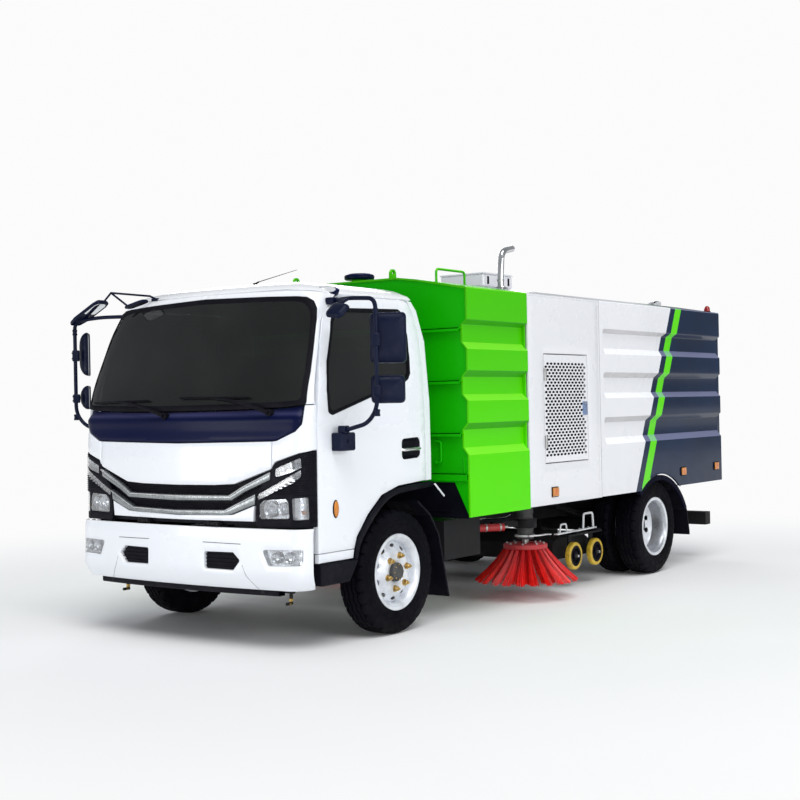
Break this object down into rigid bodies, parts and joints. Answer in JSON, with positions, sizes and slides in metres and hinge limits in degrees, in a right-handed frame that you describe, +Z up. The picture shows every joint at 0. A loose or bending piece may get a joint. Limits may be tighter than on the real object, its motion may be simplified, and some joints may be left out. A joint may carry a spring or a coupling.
{
  "type": "street sweeper truck",
  "caption": "Cab-over sweeper truck with water tank, engine bay, tipping hopper, side brushes, suction nozzle and twin rear wheels; cab, doors, tailgate and steering move.",
  "frame": {"origin": "on the ground, at the middle of the truck's length and width", "axes": "+Z up, the truck faces -Y, +X is its left side"},
  "size_m": [2.79, 5.66, 2.5286],
  "materials": {
    "cab_white": "glossy white paint",
    "body_green": "glossy yellow-green paint",
    "body_white": "glossy white paint",
    "body_navy": "glossy dark blue paint with white and green bands",
    "frame_black": "satin black chassis paint",
    "trim_black": "grained black plastic",
    "tyre": "moulded rubber",
    "rim": "silver wheel paint",
    "glass_dark": "dark tinted glass",
    "lamp_clear": "clear lamp cover",
    "lamp_red": "red lamp cover",
    "interior": "grained grey plastic",
    "seat_fabric": "woven seat cloth",
    "mirror_black": "dark blue-black plastic",
    "brush_red": "red bristles and plate",
    "caster_yellow": "yellow polyurethane tread",
    "chrome": "polished steel pipe",
    "engine_grey": "cast iron",
    "spring_steel": "satin black",
    "galvanised": "bare steel"
  },
  "bodies": {
    "chassis": {"frame_rails": "frame_black", "crossmembers": "frame_black", "front_axle": "frame_black", "rear_axle": "frame_black", "leaf_springs": "spring_steel", "main_engine": "engine_grey", "front_bumper": "cab_white", "spray_bar": "frame_black", "water_tank": "body_green", "engine_bay": "body_white", "auxiliary_engine": "engine_grey", "roof_fittings": "body_green", "exhaust_stack": "chrome", "mudguards": "trim_black", "fuel_tank_battery_box": "frame_black", "underrun_bar": "frame_black", "tail_lamps": "lamp_red", "suction_duct": "galvanised"},
    "cab": {"cab_roof": "cab_white", "cab_rear_panel": "cab_white", "cab_front_panel": "cab_white", "windscreen_frame": "cab_white", "cab_floor": "frame_black", "cab_steps": "trim_black", "cab_glass": "glass_dark", "headlamps": "lamp_clear", "dashboard": "interior", "seats": "seat_fabric", "front_mirror": "mirror_black"},
    "hopper": {"hopper": "body_navy"},
    "tailgate": {"tailgate": "body_navy"},
    "nozzle": {"suction_nozzle": "frame_black"},
    "door_left": {"door_left": "cab_white", "door_glass_left": "glass_dark", "mirror_left": "mirror_black"},
    "bay_door_left": {"bay_door_left": "body_white"},
    "knuckle_left": {"knuckle_left": "frame_black"},
    "front_wheel_left": {"front_tyre_left": "tyre", "front_rim_left": "rim"},
    "rear_wheel_left": {"rear_tyres_left": "tyre", "rear_rims_left": "rim"},
    "brush_arm_left": {"brush_arm_left": "frame_black"},
    "brush_head_left": {"brush_motor_left": "engine_grey"},
    "brush_left": {"side_brush_left": "brush_red"},
    "caster_front_left": {"caster_front_left": "caster_yellow"},
    "caster_rear_left": {"caster_rear_left": "caster_yellow"},
    "door_right": {"door_right": "cab_white", "door_glass_right": "glass_dark", "mirror_right": "mirror_black"},
    "bay_door_right": {"bay_door_right": "body_white"},
    "knuckle_right": {"knuckle_right": "frame_black"},
    "front_wheel_right": {"front_tyre_right": "tyre", "front_rim_right": "rim"},
    "rear_wheel_right": {"rear_tyres_right": "tyre", "rear_rims_right": "rim"},
    "brush_arm_right": {"brush_arm_right": "frame_black"},
    "brush_head_right": {"brush_motor_right": "engine_grey"},
    "brush_right": {"side_brush_right": "brush_red"},
    "caster_front_right": {"caster_front_right": "caster_yellow"},
    "caster_rear_right": {"caster_rear_right": "caster_yellow"}
  },
  "joints": [
    {"name": "cab_tilt", "type": "hinge", "parent": "chassis", "child": "cab", "pos_m": [0, -2.798, 0.728], "axis": [1, 0, 0], "range_deg": [0, 45]},
    {"name": "hopper_tip", "type": "hinge", "parent": "chassis", "child": "hopper", "pos_m": [0, 2.527, 0.66], "axis": [-1, 0, 0], "range_deg": [0, 45]},
    {"name": "tailgate_lift", "type": "hinge", "parent": "hopper", "child": "tailgate", "pos_m": [0, 2.772, 2.268], "axis": [1, 0, 0], "range_deg": [0, 80]},
    {"name": "nozzle_lower", "type": "slide", "parent": "chassis", "child": "nozzle", "axis": [0, 0, -1], "range_m": [0, 0.12]},
    {"name": "door_left_open", "type": "hinge", "parent": "cab", "child": "door_left", "pos_m": [0.936, -2.606, 1.2], "axis": [0, 0, -1], "range_deg": [0, 70]},
    {"name": "bay_door_left_open", "type": "hinge", "parent": "chassis", "child": "bay_door_left", "pos_m": [1.126, -0.34, 1.353], "axis": [0, 0, -1], "range_deg": [0, 100]},
    {"name": "steer_left", "type": "hinge", "parent": "chassis", "child": "knuckle_left", "pos_m": [0.785, -1.873, 0.378], "axis": [0, 0, 1], "range_deg": [-35, 35]},
    {"name": "wheel_front_left_spin", "type": "hinge", "parent": "knuckle_left", "child": "front_wheel_left", "pos_m": [0.862, -1.873, 0.378], "axis": [1, 0, 0], "continuous": true},
    {"name": "wheel_rear_left_spin", "type": "hinge", "parent": "chassis", "child": "rear_wheel_left", "pos_m": [0.862, 1.487, 0.378], "axis": [1, 0, 0], "continuous": true},
    {"name": "brush_left_swing", "type": "hinge", "parent": "chassis", "child": "brush_arm_left", "pos_m": [0.48, -0.633, 0.554], "axis": [0, 0, -1], "range_deg": [0, 22]},
    {"name": "brush_left_lower", "type": "slide", "parent": "brush_arm_left", "child": "brush_head_left", "axis": [0, 0, -1], "range_m": [0, 0.11]},
    {"name": "brush_left_spin", "type": "hinge", "parent": "brush_head_left", "child": "brush_left", "pos_m": [0.84, -0.173, 0.371], "axis": [0, 0, 1], "continuous": true},
    {"name": "caster_front_left_spin", "type": "hinge", "parent": "nozzle", "child": "caster_front_left", "pos_m": [0.888, 0.452, 0.236], "axis": [1, 0, 0], "continuous": true},
    {"name": "caster_rear_left_spin", "type": "hinge", "parent": "nozzle", "child": "caster_rear_left", "pos_m": [0.888, 0.787, 0.236], "axis": [1, 0, 0], "continuous": true},
    {"name": "door_right_open", "type": "hinge", "parent": "cab", "child": "door_right", "pos_m": [-0.936, -2.606, 1.2], "axis": [0, 0, 1], "range_deg": [0, 70]},
    {"name": "bay_door_right_open", "type": "hinge", "parent": "chassis", "child": "bay_door_right", "pos_m": [-1.126, -0.34, 1.353], "axis": [0, 0, 1], "range_deg": [0, 100]},
    {"name": "steer_right", "type": "hinge", "parent": "chassis", "child": "knuckle_right", "pos_m": [-0.785, -1.873, 0.378], "axis": [0, 0, 1], "range_deg": [-35, 35]},
    {"name": "wheel_front_right_spin", "type": "hinge", "parent": "knuckle_right", "child": "front_wheel_right", "pos_m": [-0.862, -1.873, 0.378], "axis": [1, 0, 0], "continuous": true},
    {"name": "wheel_rear_right_spin", "type": "hinge", "parent": "chassis", "child": "rear_wheel_right", "pos_m": [-0.862, 1.487, 0.378], "axis": [1, 0, 0], "continuous": true},
    {"name": "brush_right_swing", "type": "hinge", "parent": "chassis", "child": "brush_arm_right", "pos_m": [-0.48, -0.633, 0.554], "axis": [0, 0, 1], "range_deg": [0, 22]},
    {"name": "brush_right_lower", "type": "slide", "parent": "brush_arm_right", "child": "brush_head_right", "axis": [0, 0, -1], "range_m": [0, 0.11]},
    {"name": "brush_right_spin", "type": "hinge", "parent": "brush_head_right", "child": "brush_right", "pos_m": [-0.84, -0.173, 0.371], "axis": [0, 0, 1], "continuous": true},
    {"name": "caster_front_right_spin", "type": "hinge", "parent": "nozzle", "child": "caster_front_right", "pos_m": [-0.888, 0.452, 0.236], "axis": [1, 0, 0], "continuous": true},
    {"name": "caster_rear_right_spin", "type": "hinge", "parent": "nozzle", "child": "caster_rear_right", "pos_m": [-0.888, 0.787, 0.236], "axis": [1, 0, 0], "continuous": true}
  ],
  "couplings": [
    {"joint": "steer_right", "follows": "steer_left", "ratio": 1}
  ]
}
